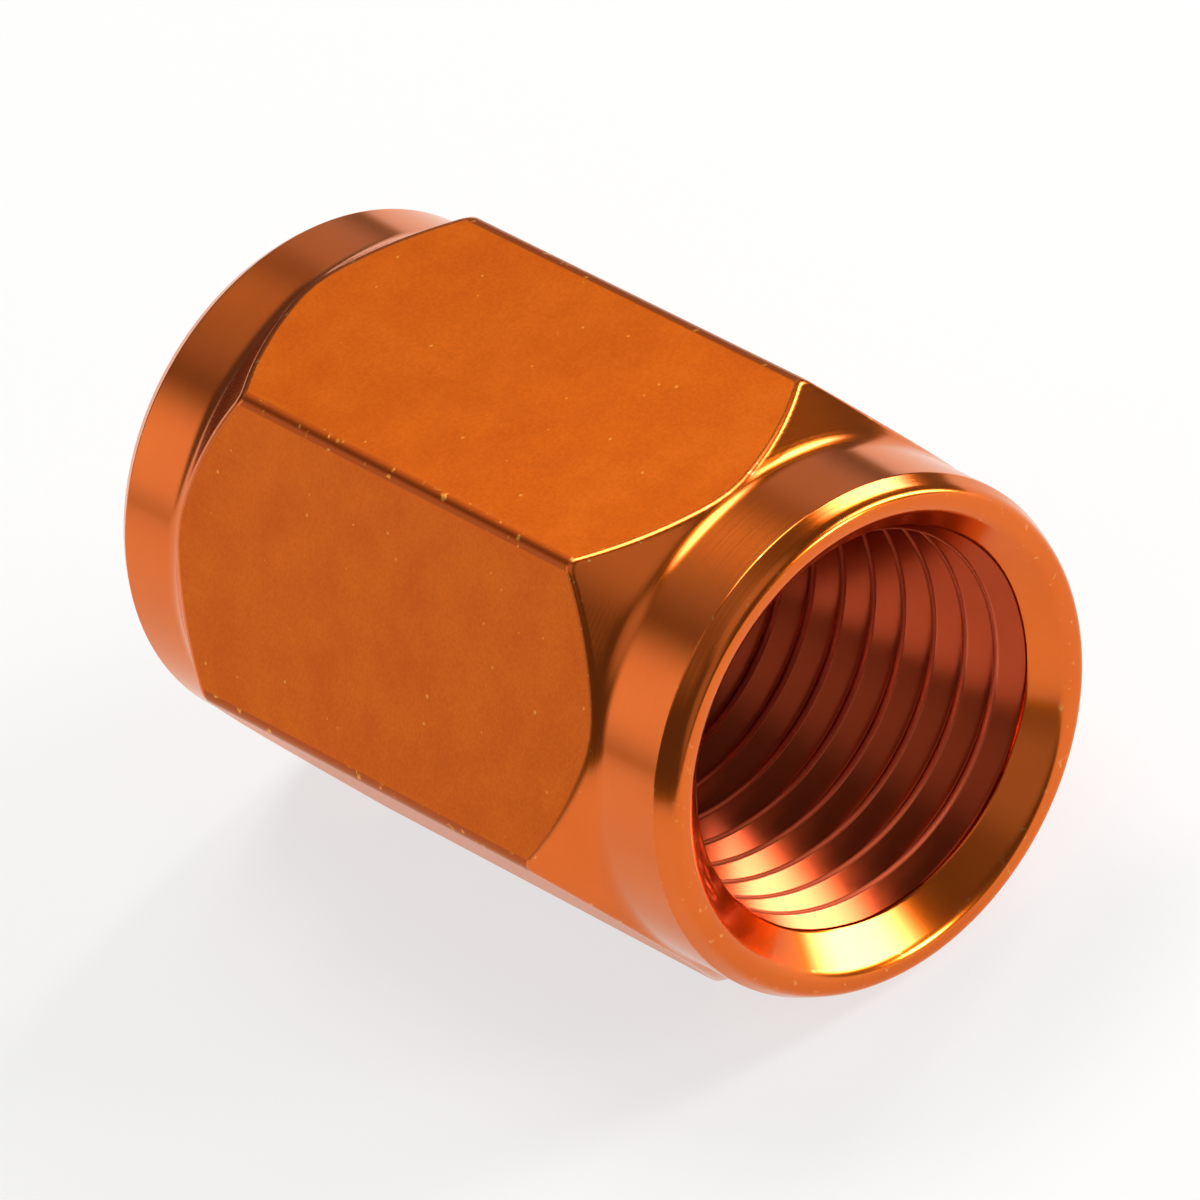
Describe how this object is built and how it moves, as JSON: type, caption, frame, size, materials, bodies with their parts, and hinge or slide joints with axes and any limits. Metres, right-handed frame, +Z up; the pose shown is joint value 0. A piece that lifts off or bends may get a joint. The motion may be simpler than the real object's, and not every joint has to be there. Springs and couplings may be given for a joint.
{
  "type": "tyre valve cap",
  "caption": "Hexagonal tyre valve cap turned from anodised aluminium bar, with round collars, conical shoulders, a fine internal valve thread and a rubber sealing washer.",
  "frame": {"origin": "on the surface that the cap lies on, below the middle of its length", "axes": "+X along the thread axis and out of the mouth, +Z up, square to the flat that the cap lies on"},
  "size_m": [0.0148, 0.0108, 0.0095],
  "materials": {
    "anodised_aluminium": "orange anodised, satin flats and bright turned collars",
    "washer_rubber": "matt black moulded rubber"
  },
  "bodies": {
    "root": {"cap_body": "anodised_aluminium", "sealing_washer": "washer_rubber"}
  },
  "joints": []
}
